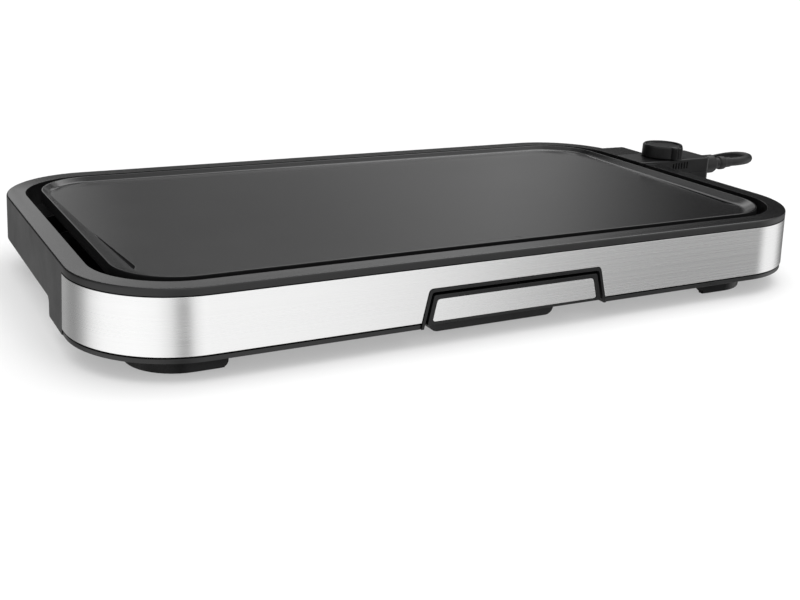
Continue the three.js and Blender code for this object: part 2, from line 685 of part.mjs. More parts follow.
function drawerTray() {
  const front = FRONT_BACK_Y + GAP;
  const wall = TRAY_WALL;
  const back = TRAY_BACK_Y;
  const basinBack = back - 4;
  const upper = box(-TRAY_HALF_X, TRAY_HALF_X, front, back, DRAWER_BOTTOM, TRAY_TOP);
  const flange = box(-RAIL_X - 2, RAIL_X + 2, -134, back, TRAY_TOP - wall, TRAY_TOP);
  const basin = frontPrism(
    roundedRect(BASIN_LEFT_X, BASIN_RIGHT_X, BASIN_BOTTOM, BASIN_BOTTOM + 20, BASIN_RADIUS),
    BASIN_FRONT_Y, basinBack, 5,
  );
  const upperRoom = box(
    -TRAY_HALF_X + wall, TRAY_HALF_X - wall, front + wall, back - wall, DRAWER_BOTTOM + wall, TRAY_TOP + 1,
  );
  const basinRoom = frontPrism(
    roundedRect(
      BASIN_LEFT_X + wall, BASIN_RIGHT_X - wall, BASIN_BOTTOM + wall, TRAY_TOP, BASIN_RADIUS - wall,
    ),
    BASIN_FRONT_Y + wall, basinBack - wall, 5,
  );
  return flare(cut(join(upper, flange, basin), upperRoom, basinRoom));
}

// ---------------------------------------------------------------- thermostat control
const SHELL = 2;
const VENTS = 6;
const VENT_PITCH = 3.3;
const VENT_START_X = 301;
const SHELL_SCREWS = [[338, PROBE_Y - 11], [338, PROBE_Y + 11]];

function probeBlock(inset, z0, z1) {
  const y0 = PROBE_Y - PROBE_HALF_Y + inset;
  const y1 = PROBE_Y + PROBE_HALF_Y - inset;
  return slab(roundedRect(PROBE_INNER_X + inset, PROBE_OUTER_X - inset, y0, y1, 4.5 - inset), z0, z1, 3);
}

function pinRows() {
  return [PROBE_Y - PIN_SPACING / 2, PROBE_Y + PIN_SPACING / 2];
}

function noseHoles() {
  const holeAt = (y, radius) => turnedAlongX(rod(radius, 8), 10).translate(PROBE_INNER_X - 4, y, PIN_Z);
  return [...pinRows().map((y) => holeAt(y, 2.8)), holeAt(PROBE_Y, 3)];
}

function probeLowerShell() {
  const room = probeBlock(SHELL, PROBE_BOTTOM + SHELL, PROBE_SEAM + 1);
  const cup = cut(probeBlock(0, PROBE_BOTTOM, PROBE_SEAM), room);
  const rodsFrom = (z, radius, length) => SHELL_SCREWS.map(([x, y]) => {
    return turned(rod(radius, length), 10).translate(x, y, z);
  });
  const bosses = rodsFrom(PROBE_BOTTOM + 1, 3.6, PROBE_SEAM - PROBE_BOTTOM - 1);
  const holes = rodsFrom(PROBE_BOTTOM - 5, 1.6, 20);
  const counterbores = rodsFrom(PROBE_BOTTOM - 2, 2.9, 4);
  return cut(join(cup, ...bosses), ...noseHoles(), ...holes, ...counterbores);
}

function probeUpperShell() {
  const y0 = PROBE_Y - PROBE_HALF_Y;
  const y1 = PROBE_Y + PROBE_HALF_Y;
  const outer = common(
    softSlab(PROBE_INNER_X, PROBE_OUTER_X, y0, y1, 4.5, PROBE_BOTTOM, PROBE_TOP, 1.2, 3, 2),
    box(200, 400, 0, 120, PROBE_SEAM + GAP, PROBE_TOP + 1),
  );
  const cup = cut(outer, probeBlock(SHELL, PROBE_SEAM - 1, PROBE_TOP - SHELL));
  const bosses = SHELL_SCREWS.map(([x, y]) => turned(rod(3.4, 12), 10).translate(x, y, PROBE_SEAM + GAP));
  const holes = SHELL_SCREWS.map(([x, y]) => turned(rod(1.5, 10), 8).translate(x, y, PROBE_SEAM - 1));
  const shaftHole = turned(rod(3.4, 10), 12).translate(KNOB_X, PROBE_Y, PROBE_TOP - 5);
  const vents = Array.from({ length: VENTS }, (_, i) => {
    const x = VENT_START_X + i * VENT_PITCH;
    return box(x, x + 1.5, y0 - 1, y0 + 1.1, 50.2, 55.6 + 0.2 * i);
  });
  return cut(join(cup, ...bosses), ...holes, shaftHole, ...vents);
}

function shellScrew() {
  return turned([[0, 0], [1.9, 0], [2.5, 0.5], [2.5, 1.2], [1.2, 1.2], [1.2, 13], [0, 14]], 8);
}

function contactSleeve() {
  return cut(turnedAlongX(rod(3, 17), 10), turnedAlongX(rod(2.4, 19), 10).translate(-1, 0, 0));
}

function temperatureStem() {
  const length = 48;
  return turnedAlongX([[0, 0], [1.6, 0], [2.6, 1.2], [2.6, length], [0, length]], 12);
}

function thermostatSwitch() {
  const block = box(286, 320, PROBE_Y - 12, PROBE_Y + 12, PROBE_BOTTOM + SHELL + GAP, 53);
  const step = box(285, 296, PROBE_Y - 13, PROBE_Y + 13, 46, 54);
  return cut(block, step);
}

// Round knob with a fluted grip on one side and a sunk top.
function knob() {
  const top = KNOB_TOP - KNOB_BASE;
  const disc = turned([
    [0, 0], [KNOB_RADIUS - 0.5, 0], [KNOB_RADIUS, 0.6],
    [KNOB_RADIUS - 0.3, top - 1.2], [KNOB_RADIUS - 1.3, top],
    [KNOB_RADIUS - 2.6, top], [KNOB_RADIUS - 3.2, top - 1.6], [0, top - 1.6],
  ], 24);
  const gripFront = -KNOB_RADIUS - 4.4;
  const grip = softSlab(-4.4, 6.8, gripFront, -KNOB_RADIUS + 5, 4.4, 0, top - 0.4, 0.6, 5, 1);
  const flutes = [-0.8, 3.2].map((x) => turned(rod(0.9, 20), 6).translate(x, gripFront - 0.2, -2));
  const bore = turned(rod(3.3, top - 3), 12).translate(0, 0, -1);
  const mark = box(-0.7, 0.7, -KNOB_RADIUS + 4.4, -KNOB_RADIUS + 11, top - 2.2, top - 1.1);
  return cut(join(disc, grip, mark), ...flutes, bore).translate(KNOB_X, PROBE_Y, KNOB_BASE);
}

// ---------------------------------------------------------------- mains cord
const STRAIN_START_X = PROBE_OUTER_X + GAP;

function strainRelief() {
  const length = CORD_START_X - GAP - STRAIN_START_X;
  return turnedAlongX([
    [0, 0], [8.4, 0], [8.8, 2], [8.8, 18], [7.6, 20.4], [5.4, 21.2], [5.1, 27], [6.2, 28],
    [6.4, 29], [6.4, 33], [6, 34.2], [5, 34.8], [4.7, length], [0, length],
  ], 18).translate(STRAIN_START_X, PROBE_Y, CORD_Z);
}

function cordTube(points, steps) {
  const places = points.map(([x, y, z]) => new THREE.Vector3(x, y, z));
  const curve = new THREE.CatmullRomCurve3(places, false, 'centripetal');
  return tube(curve, CORD_RADIUS, steps, 4);
}

// Out of the control, round a wide bend, down to the table and along it to the coil.
const CORD_ROUTE = [
  [CORD_START_X, PROBE_Y, CORD_Z],
  [398, 56, 48],
  [408, 57.4, 48],
  [418, 61.4, 47.8],
  [427, 69, 47.2],
  [432.6, 79.5, 46.2],
  [434.6, 92, 44.4],
  [433.8, 106, 41],
  [431.6, 121, 35.8],
  [428.4, 136, 29.2],
  [424.6, 151, 22.2],
  [419.6, 166, 15.4],
  [412.6, 181, 9.6],
  [402.6, 196, 5.8],
  [389, 210, 4.5],
  [371, 224, 4.4],
  [350, 237, 4.4],
  [326, 250, 4.4],
  [300, 263, 4.4],
  [272, 274.6, 4.6],
  [244, 282.6, 5.2],
  [222, 286, 5.6],
  [203, 287.4, 5.8],
];

// From the upper turn of the coil to the middle of the plug, with a slight sag.
const PLUG_CORD_ROUTE = [
  [203, 188.7, 12.2],
  [212, 188.8, 11.7],
  [222, 189.4, 11.7],
  [232, 190.6, 12.6],
  [242, 192.4, 14.4],
  [251, 194.2, 16.6],
  [259, 195.5, 18.4],
  [267, PLUG_Y, 19.2],
];

function cordCoil() {
  const soft = 2.4;
  const profile = [
    [COIL_INNER + soft, COIL_BOTTOM], [COIL_OUTER - soft, COIL_BOTTOM], [COIL_OUTER, COIL_BOTTOM + soft],
    [COIL_OUTER, COIL_TOP - soft], [COIL_OUTER - soft, COIL_TOP], [COIL_INNER + soft, COIL_TOP],
    [COIL_INNER, COIL_TOP - soft], [COIL_INNER, COIL_BOTTOM + soft], [COIL_INNER + soft, COIL_BOTTOM],
  ];
  return turned(profile, 28).translate(COIL_X, COIL_Y, 0);
}

function coilTie() {
  const sheet = 0.9;
  const half = 4;
  const x0 = COIL_X - COIL_OUTER - GAP;
  const x1 = COIL_X - COIL_INNER + GAP + 0.3;
  const z0 = COIL_BOTTOM - GAP;
  const z1 = COIL_TOP + GAP;
  const outer = box(x0 - sheet, x1 + sheet, COIL_Y - half, COIL_Y + half, z0 - sheet, z1 + sheet);
  return cut(outer, box(x0, x1, COIL_Y - half - 1, COIL_Y + half + 1, z0, z1));
}

const PLUG_Z = PLUG_RADIUS + 0.2;
const PLUG_LENGTH = 44;

// Round plug body with a waist to grip. It lies on its side with the pins towards +X.
function plugBody() {
  const r = PLUG_RADIUS;
  const end = PLUG_LENGTH;
  return turnedAlongX([
    [0, 0.4], [5.4, 0.4], [6.4, end - 40], [9, end - 37], [r - 5.6, end - 33], [r - 4.4, end - 26],
    [r - 3.4, end - 19], [r, end - 12], [r, end - 1.4], [r - 1.2, end], [0, end],
  ], 18).translate(PLUG_START_X, PLUG_Y, PLUG_Z);
}

function plugPin() {
  const length = 19;
  return turnedAlongX([[0, 0], [2.4, 0], [2.4, length - 1.4], [1.6, length], [0, length]], 12);
}

// ---------------------------------------------------------------- assembly
add('frame', frame(), 'frame_plastic');
add('steel_band', steelBand(), 'brushed_steel');
add('drawer_surround', drawerSurround(), 'trim_plastic');
add('base_pan', basePan(), 'base_plastic');
POSTS.forEach(([x, y], i) => {
  add(`housing_screw_${i + 1}`, housingScrew().translate(x, y, LIP_BOTTOM + 0.1), 'sheet_metal');
});
FEET.forEach((place) => {
  add(`foot_${place.name}`, foot(place), 'trim_plastic');
  add(`foot_pad_${place.name}`, footPad(place), 'rubber');
});

add('griddle_plate', griddlePlate(), 'nonstick');
add('drain_spout', drainSpout(), 'sheet_metal');

add('heating_element', tube(elementCurve(), ELEMENT_RADIUS, 72, 4), 'element_steel');
add('element_bracket_left', elementBracket(-110), 'sheet_metal');
add('element_bracket_right', elementBracket(110), 'sheet_metal');
add('heat_reflector', heatReflector(), 'sheet_metal');
add('terminal_block', terminalBlock(), 'ceramic');
const PIN_ROOT_X = BLOCK_X + BLOCK_LENGTH + GAP;
pinRows().forEach((y, i) => {
  add(`contact_pin_${i + 1}`, contactPin().translate(PIN_ROOT_X, y, PIN_Z), 'contact_brass');
});

add('drawer_front', drawerFront(), 'trim_plastic');
add('drawer_face_plate', drawerFacePlate(), 'brushed_steel');
add('drawer_tray', drawerTray(), 'base_plastic');

add('control_lower_shell', probeLowerShell(), 'control_plastic');
add('control_upper_shell', probeUpperShell(), 'control_plastic');
SHELL_SCREWS.forEach(([x, y], i) => {
  add(`control_screw_${i + 1}`, shellScrew().translate(x, y, PROBE_BOTTOM + 0.5), 'sheet_metal');
});
const SLEEVE_X = PROBE_INNER_X + SHELL + GAP;
pinRows().forEach((y, i) => {
  add(`contact_sleeve_${i + 1}`, contactSleeve().translate(SLEEVE_X, y, PIN_Z), 'contact_brass');
});
add('temperature_stem', temperatureStem().translate(218, PROBE_Y, PIN_Z), 'element_steel');
add('thermostat_switch', thermostatSwitch(), 'ceramic');
add('knob_shaft', turned(rod(2.9, 13), 12).translate(KNOB_X, PROBE_Y, 53 + GAP), 'sheet_metal');
add('control_knob', knob(), 'control_plastic');

add('strain_relief', strainRelief(), 'cord_rubber');
add('power_cord', cordTube(CORD_ROUTE, 44), 'cord_rubber');
add('cord_coil', cordCoil(), 'cord_rubber');
add('coil_tie', coilTie(), 'rubber');
add('plug_cord', cordTube(PLUG_CORD_ROUTE, 9), 'cord_rubber');
add('plug_body', plugBody(), 'cord_rubber');
const PLUG_PIN_X = PLUG_START_X + PLUG_LENGTH + GAP;
[-9.5, 9.5].forEach((offset, i) => {
  add(`plug_pin_${i + 1}`, plugPin().translate(PLUG_PIN_X, PLUG_Y + offset, PLUG_Z), 'sheet_metal');
});

export default griddle;
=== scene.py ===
import json
import math

import bmesh
import bpy
from mathutils import Matrix, Vector, geometry


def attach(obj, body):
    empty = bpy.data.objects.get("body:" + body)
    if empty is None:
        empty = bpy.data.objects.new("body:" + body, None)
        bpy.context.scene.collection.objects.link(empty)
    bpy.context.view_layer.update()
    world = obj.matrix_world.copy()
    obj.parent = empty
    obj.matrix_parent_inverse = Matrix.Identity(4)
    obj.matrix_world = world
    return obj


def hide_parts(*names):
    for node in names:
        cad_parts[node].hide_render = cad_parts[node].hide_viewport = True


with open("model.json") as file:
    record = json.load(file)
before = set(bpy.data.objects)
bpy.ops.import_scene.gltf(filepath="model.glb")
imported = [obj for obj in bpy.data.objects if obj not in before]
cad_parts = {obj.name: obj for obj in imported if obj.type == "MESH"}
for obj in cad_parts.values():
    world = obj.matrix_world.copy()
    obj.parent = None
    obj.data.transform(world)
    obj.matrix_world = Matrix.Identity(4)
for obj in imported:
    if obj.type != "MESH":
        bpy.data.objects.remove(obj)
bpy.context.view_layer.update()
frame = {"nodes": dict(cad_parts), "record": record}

# All shapes are written in millimetres about the middle of the housing.
# The frame's origin lies ORIGIN_X further to the right.
MM = 0.001
ORIGIN_X = 54.0
HALF_X = 280.0
HALF_Y = 160.0
CORNER = 68.0
RIM_Z = 58.0


def at(x, y, z):
    return Vector(((x - ORIGIN_X) * MM, y * MM, z * MM))


# ---------------------------------------------------------------- camera
CAMERA_PLACE = (-406.4, -742.3, 257.8)
CAMERA_YAW = math.radians(-28.6263)
CAMERA_PITCH = math.radians(-18.6407)
CAMERA_ROLL = math.radians(2.183)
CAMERA_LENS = 50.295
CAMERA_SENSOR = 36.0


def make_camera():
    forward = Vector((
        -math.sin(CAMERA_YAW) * math.cos(CAMERA_PITCH),
        math.cos(CAMERA_YAW) * math.cos(CAMERA_PITCH),
        math.sin(CAMERA_PITCH),
    ))
    level_right = Vector((math.cos(CAMERA_YAW), math.sin(CAMERA_YAW), 0.0))
    level_up = level_right.cross(forward)
    right = level_right * math.cos(CAMERA_ROLL) + level_up * math.sin(CAMERA_ROLL)
    up = level_up * math.cos(CAMERA_ROLL) - level_right * math.sin(CAMERA_ROLL)
    data = bpy.data.cameras.new("camera")
    data.lens = CAMERA_LENS
    data.sensor_width = CAMERA_SENSOR
    data.clip_start = 0.01
    data.clip_end = 200.0
    camera = bpy.data.objects.new("camera", data)
    bpy.context.scene.collection.objects.link(camera)
    rotation = Matrix((right, up, -forward)).transposed().to_4x4()
    camera.matrix_world = Matrix.Translation(at(*CAMERA_PLACE)) @ rotation
    bpy.context.scene.camera = camera


make_camera()


# ---------------------------------------------------------------- node helpers
def fresh_material(name):
    material = bpy.data.materials.new(name)
    material.use_nodes = True
    nodes = material.node_tree.nodes
    return material, nodes, material.node_tree.links, nodes["Principled BSDF"]


def object_place(nodes, links, scale):
    coordinates = nodes.new("ShaderNodeTexCoord")
    mapping = nodes.new("ShaderNodeMapping")
    mapping.inputs["Scale"].default_value = scale
    links.new(coordinates.outputs["Object"], mapping.inputs["Vector"])
    return mapping.outputs["Vector"]


def noise(nodes, links, scale, detail=3.0, roughness=0.5):
    texture = nodes.new("ShaderNodeTexNoise")
    texture.inputs["Scale"].default_value = 1.0
    texture.inputs["Detail"].default_value = detail
    texture.inputs["Roughness"].default_value = roughness
    links.new(object_place(nodes, links, scale), texture.inputs["Vector"])
    return texture.outputs["Fac"]


def ranged(nodes, links, value, low, high, start=0.3, end=0.7):
    node = nodes.new("ShaderNodeMapRange")
    node.inputs["From Min"].default_value = start
    node.inputs["From Max"].default_value = end
    node.inputs["To Min"].default_value = low
    node.inputs["To Max"].default_value = high
    links.new(value, node.inputs["Value"])
    return node.outputs["Result"]


def mixed_colour(nodes, links, value, first, second):
    ramp = nodes.new("ShaderNodeValToRGB")
    ramp.color_ramp.elements[0].position = 0.35
    ramp.color_ramp.elements[1].position = 0.65
    ramp.color_ramp.elements[0].color = (*first, 1.0)
    ramp.color_ramp.elements[1].color = (*second, 1.0)
    links.new(value, ramp.inputs["Fac"])
    return ramp.outputs["Color"]


def bumped(nodes, links, shader, height, distance, strength=1.0, before=None):
    bump = nodes.new("ShaderNodeBump")
    bump.inputs["Strength"].default_value = strength
    bump.inputs["Distance"].default_value = distance
    links.new(height, bump.inputs["Height"])
    if before is not None:
        links.new(before, bump.inputs["Normal"])
    links.new(bump.outputs["Normal"], shader.inputs["Normal"])
    return bump.outputs["Normal"]


# ---------------------------------------------------------------- materials
# The painted crevice shade: how far it looks for nearby surfaces in metres, the least share of the shine it
# leaves, and the openness over which it fades.
CREVICE_REACH = 0.016
CREVICE_LEAST = 0.04
CREVICE_OPENNESS = (0.4, 0.75)


def painted_crevice_shade(nodes, links, full):
    """A specular level that falls off inside narrow joints and hollows, read from the ambient occlusion
    there: painted shade.
    """
    shade = nodes.new("ShaderNodeAmbientOcclusion")
    shade.samples = 4
    shade.inputs["Distance"].default_value = CREVICE_REACH
    return ranged(nodes, links, shade.outputs["AO"], full * CREVICE_LEAST, full, *CREVICE_OPENNESS)


# The upward share of a normal over which a face changes from not polished to polished,
# and the height in millimetres over which it does.
POLISHED_UP = (0.55, 0.75)
POLISHED_FADE = 0.1


def polished_top(nodes, links, from_z):
    """1 on faces that look up above a height in millimetres, 0 elsewhere."""
    coordinates = nodes.new("ShaderNodeTexCoord")
    masks = []
    heights = ((from_z - POLISHED_FADE) * MM, from_z * MM)
    for socket, (low, high) in (("Object", heights), ("Normal", POLISHED_UP)):
        parts = nodes.new("ShaderNodeSeparateXYZ")
        links.new(coordinates.outputs[socket], parts.inputs[0])
        masks.append(ranged(nodes, links, parts.outputs["Z"], 0.0, 1.0, low, high))
    both = nodes.new("ShaderNodeMath")
    both.operation = "MULTIPLY"
    links.new(masks[0], both.inputs[0])
    links.new(masks[1], both.inputs[1])
    return both.outputs[0]


def plastic(name, dark, light, roughness, grain=2200.0, depth=0.00002, specular=0.5, polish=None):
    """Moulded plastic: a fine spark-eroded grain and a faint unevenness of tone and gloss.

    polish is the lower roughness of its polished upper faces and the height from which they count."""
    material, nodes, links, shader = fresh_material(name)
    broad = noise(nodes, links, (38.0, 38.0, 38.0), 4.0, 0.6)
    fine = noise(nodes, links, (grain, grain, grain), 2.0, 0.6)
    links.new(mixed_colour(nodes, links, broad, dark, light), shader.inputs["Base Color"])
    gloss = ranged(nodes, links, broad, roughness - 0.035, roughness + 0.035)
    if polish is not None:
        blend = nodes.new("ShaderNodeMix")
        links.new(polished_top(nodes, links, polish[1]), blend.inputs["Factor"])
        links.new(gloss, blend.inputs["A"])
        blend.inputs["B"].default_value = polish[0]
        gloss = blend.outputs["Result"]
    links.new(gloss, shader.inputs["Roughness"])
    bumped(nodes, links, shader, fine, depth, 0.6)
    # Painted shade: the shine falls off in joints and hollows.
    links.new(painted_crevice_shade(nodes, links, specular), shader.inputs["Specular IOR Level"])
    return material


# How much darker the streaks are than the steel between them, and how much less blue the steel is.
STREAK_TONE = 0.975
STEEL_WARMTH = 0.997


def brushed(name, tone, roughness, along=3.0, across=6500.0, anisotropic=0.8):
    """Sheet steel brushed level along its length: long thin streaks, stacked up the height."""
    material, nodes, links, shader = fresh_material(name)
    streaks = noise(nodes, links, (along, along, across), 5.0, 0.62)
    bands = noise(nodes, links, (along * 0.5, along * 0.5, across * 0.2), 3.0, 0.5)
    streak = tone * STREAK_TONE
    dark = (streak, streak, streak)
    light = (tone, tone, tone * STEEL_WARMTH)
    links.new(mixed_colour(nodes, links, streaks, dark, light), shader.inputs["Base Color"])
    links.new(ranged(nodes, links, bands, roughness - 0.015, roughness + 0.02), shader.inputs["Roughness"])
    shader.inputs["Metallic"].default_value = 1.0
    # The streaks run round the object, so a highlight spreads up and down, across them.
    shader.inputs["Anisotropic"].default_value = anisotropic
    shader.inputs["Anisotropic Rotation"].default_value = 0.25
    tangent = nodes.new("ShaderNodeTangent")
    tangent.direction_type = "RADIAL"
    tangent.axis = "Z"
    links.new(tangent.outputs["Tangent"], shader.inputs["Tangent"])
    bumped(nodes, links, shader, streaks, 0.000003, 0.2)
    return material


# The bottom of the grooves lies below this height in millimetres. There, and on the plate's steep walls and
# underside, the coating is rougher and its shine is turned almost off: painted shade in the grooves and in
# the gap round the plate.
GROOVE_SHADE_BELOW_Z = 54.75
COATED_ROUGHNESS = (0.15, 0.19)
COATED_SPECULAR = 0.5
DULL_ROUGHNESS = 0.7
PAINTED_SHADE_SPECULAR = 0.03


def coated(name):
    """Non-stick coating: dark grey, slightly speckled, over the faint orange peel of a sprayed film."""
    material, nodes, links, shader = fresh_material(name)
    speckle = noise(nodes, links, (1500.0, 1500.0, 1500.0), 3.0, 0.7)
    peel = noise(nodes, links, (420.0, 420.0, 420.0), 2.0, 0.5)
    broad = noise(nodes, links, (9.0, 9.0, 9.0), 3.0, 0.5)
    colour = mixed_colour(nodes, links, speckle, (0.006, 0.006, 0.0062), (0.011, 0.011, 0.0113))
    links.new(colour, shader.inputs["Base Color"])
    unshaded_face = polished_top(nodes, links, GROOVE_SHADE_BELOW_Z)
    blend = nodes.new("ShaderNodeMix")
    links.new(unshaded_face, blend.inputs["Factor"])
    blend.inputs["A"].default_value = DULL_ROUGHNESS
    links.new(ranged(nodes, links, broad, *COATED_ROUGHNESS), blend.inputs["B"])
    links.new(blend.outputs["Result"], shader.inputs["Roughness"])
    # Painted shade: almost no shine in the grooves and on the steep walls, and less in joints.
    shine = nodes.new("ShaderNodeMix")
    links.new(unshaded_face, shine.inputs["Factor"])
    shine.inputs["A"].default_value = PAINTED_SHADE_SPECULAR
    links.new(painted_crevice_shade(nodes, links, COATED_SPECULAR), shine.inputs["B"])
    links.new(shine.outputs["Result"], shader.inputs["Specular IOR Level"])
    first = bumped(nodes, links, shader, peel, 0.00003, 0.35)
    bumped(nodes, links, shader, speckle, 0.000012, 0.5, first)
    return material


def metal(name, colour, roughness, scale=260.0, depth=0.00003):
    """Plain mill-finished metal with slight mottling."""
    material, nodes, links, shader = fresh_material(name)
    mottle = noise(nodes, links, (scale, scale, scale), 4.0, 0.6)
    darker = tuple(c * 0.8 for c in colour)
    links.new(mixed_colour(nodes, links, mottle, darker, colour), shader.inputs["Base Color"])
    links.new(ranged(nodes, links, mottle, roughness - 0.05, roughness + 0.07), shader.inputs["Roughness"])
    shader.inputs["Metallic"].default_value = 1.0
    bumped(nodes, links, shader, mottle, depth, 0.4)
    return material


def ceramic(name):
    material, nodes, links, shader = fresh_material(name)
    pores = noise(nodes, links, (900.0, 900.0, 900.0), 4.0, 0.7)
    colour = mixed_colour(nodes, links, pores, (0.58, 0.55, 0.48), (0.72, 0.69, 0.62))
    links.new(colour, shader.inputs["Base Color"])
    shader.inputs["Roughness"].default_value = 0.75
    bumped(nodes, links, shader, pores, 0.00006, 0.6)
    return material


# The darker and the lighter tone of each black.
DEEP_BLACK = ((0.004, 0.004, 0.0042), (0.006, 0.006, 0.0063))
BASE_BLACK = ((0.005, 0.005, 0.0053), (0.008, 0.008, 0.0084))
CORD_BLACK = ((0.006, 0.006, 0.006), (0.009, 0.009, 0.009))
RUBBER_BLACK = ((0.010, 0.010, 0.010), (0.016, 0.016, 0.016))
RIM_POLISH = (0.22, 57.0)

LOOKS = {
    "frame_plastic": plastic("satin_black_frame", *DEEP_BLACK, 0.38, 1500.0, polish=RIM_POLISH),
    "trim_plastic": plastic("black_trim", *DEEP_BLACK, 0.28, 2200.0, 0.00001, 0.36),
    "base_plastic": plastic("grained_black_base", *BASE_BLACK, 0.3, 1100.0, 0.00002),
    "brushed_steel": brushed("brushed_steel_front", 0.86, 0.26),
    "nonstick": coated("nonstick_coating"),
    "sheet_metal": metal("plain_sheet_steel", (0.62, 0.62, 0.61), 0.32),
    "element_steel": metal("tinted_element_tube", (0.20, 0.18, 0.165), 0.42),
    "contact_brass": metal("contact_brass", (0.72, 0.56, 0.27), 0.28),
    "ceramic": ceramic("unglazed_ceramic"),
    "control_plastic": plastic("control_black", *DEEP_BLACK, 0.3, 1800.0, specular=0.3),
    "rubber": plastic("matte_rubber", *RUBBER_BLACK, 0.8, 900.0, 0.00006, 0.3),
    "cord_rubber": plastic("cord_sheath", *CORD_BLACK, 0.42, 1000.0, 0.00003, 0.3),
}


# ---------------------------------------------------------------- mesh helpers
SLOT_OF = {row["node"]: row["material_slot"] for row in frame["record"]["subparts"]}
BODY_OF = {
    node: body for body, members in frame["record"]["behaviour"]["bodies"].items() for node in members
}


# Corners of a solid closer than this in metres are merged, and faces flatter than this in degrees joined up.
MERGE_WITHIN = 0.00002
FLAT_WITHIN = 0.5


def finished_mesh(bm, name, sharp=38.0):
    """Smooth shading with sharp edges above an angle, and normals weighted by face area."""
    mesh = bpy.data.meshes.new(name)
    bm.to_mesh(mesh)
    bm.free()
    for polygon in mesh.polygons:
        polygon.use_smooth = True
    mesh.set_sharp_from_angle(angle=math.radians(sharp))
    piece = bpy.data.objects.new(name, mesh)
    bpy.context.scene.collection.objects.link(piece)
    weighted = piece.modifiers.new("weighted", "WEIGHTED_NORMAL")
    weighted.keep_sharp = True
    weighted.weight = 80
    return piece


def dressed(piece, body, slot, *nodes):
    piece.data.materials.clear()
    piece.data.materials.append(LOOKS[slot])
    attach(piece, body)
    if nodes:
        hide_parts(*nodes)
    return piece


def solid_of(node):
    """The CAD solid as a clean mesh: shared corners merged and flat faces joined up."""
    bm = bmesh.new()
    bm.from_mesh(frame["nodes"][node].data)
    bmesh.ops.remove_doubles(bm, verts=bm.verts, dist=MERGE_WITHIN)
    bmesh.ops.dissolve_limit(bm, angle_limit=math.radians(FLAT_WITHIN), verts=bm.verts, edges=bm.edges)
    return bm


def softened(bm, width, angle=32.0, segments=2):
    """Rounds every edge that is sharper than angle."""
    limit = math.radians(angle)
    edges = [e for e in bm.edges if len(e.link_faces) == 2 and e.calc_face_angle() > limit]
    if edges and width > 0:
        bmesh.ops.bevel(
            bm, geom=edges, offset=width * MM, offset_type="OFFSET", segments=segments,
            profile=0.6, affect="EDGES", clamp_overlap=False,
        )
    return bm


def refined(node, name, width, sharp=38.0, angle=32.0):
    bm = softened(solid_of(node), width, angle)
    return dressed(finished_mesh(bm, name, sharp), BODY_OF[node], SLOT_OF[node], node)


# ---------------------------------------------------------------- mains cord
CORD_RADIUS = 4.2
CORD_ROUTE = [
    (390.0, 56.0, 48.0), (398.0, 56.0, 48.0), (408.0, 57.4, 48.0), (418.0, 61.4, 47.8),
    (427.0, 69.0, 47.2), (432.6, 79.5, 46.2), (434.6, 92.0, 44.4), (433.8, 106.0, 41.0),
    (431.6, 121.0, 35.8), (428.4, 136.0, 29.2), (424.6, 151.0, 22.2), (419.6, 166.0, 15.4),
    (412.6, 181.0, 9.6), (402.6, 196.0, 5.8), (389.0, 210.0, 4.5), (371.0, 224.0, 4.4),
    (350.0, 237.0, 4.4), (326.0, 250.0, 4.4), (300.0, 263.0, 4.4), (272.0, 274.6, 4.6),
    (244.0, 282.6, 5.2), (222.0, 286.0, 5.6), (203.0, 287.4, 5.8),
]
PLUG_ROUTE = [
    (203.0, 188.7, 12.2), (212.0, 188.8, 11.7), (222.0, 189.4, 11.7), (232.0, 190.6, 12.6),
    (242.0, 192.4, 14.4), (251.0, 194.2, 16.6), (259.0, 195.5, 18.4), (267.0, 196.0, 19.2),
]
COIL_CENTRE = (172.0, 238.0)
COIL_OUTER_TURN = 49.5
COIL_INNER_TURN = 40.9
COIL_LOW = 5.6
COIL_HIGH = 14.2
COIL_TURNS = 3.5
# The turns after which the coil goes inwards, up and outwards, and how much of a turn it takes for each.
COIL_INWARD_AT = 0.8
COIL_UPWARD_AT = 1.8
COIL_OUTWARD_AT = 2.8
COIL_CHANGE = 0.4
TURN_POINTS = 24
CORD_STEPS = 4


def eased(value):
    value = min(1.0, max(0.0, value))
    return value * value * (3.0 - 2.0 * value)


def coil_points():
    """Outer turn and inner turn on the table, then the inner turn and half an outer turn on top of them."""
    points = []
    count = int(COIL_TURNS * TURN_POINTS)
    for i in range(1, count):
        turns = i / TURN_POINTS
        inward = eased((turns - COIL_INWARD_AT) / COIL_CHANGE)
        inward -= eased((turns - COIL_OUTWARD_AT) / COIL_CHANGE)
        radius = COIL_OUTER_TURN + (COIL_INNER_TURN - COIL_OUTER_TURN) * inward
        upward = eased((turns - COIL_UPWARD_AT) / COIL_CHANGE)
        height = COIL_LOW + (COIL_HIGH - COIL_LOW) * upward
        angle = math.pi / 2.0 + turns * 2.0 * math.pi
        points.append((
            COIL_CENTRE[0] + radius * math.cos(angle),
            COIL_CENTRE[1] + radius * math.sin(angle),
            height,
        ))
    return points


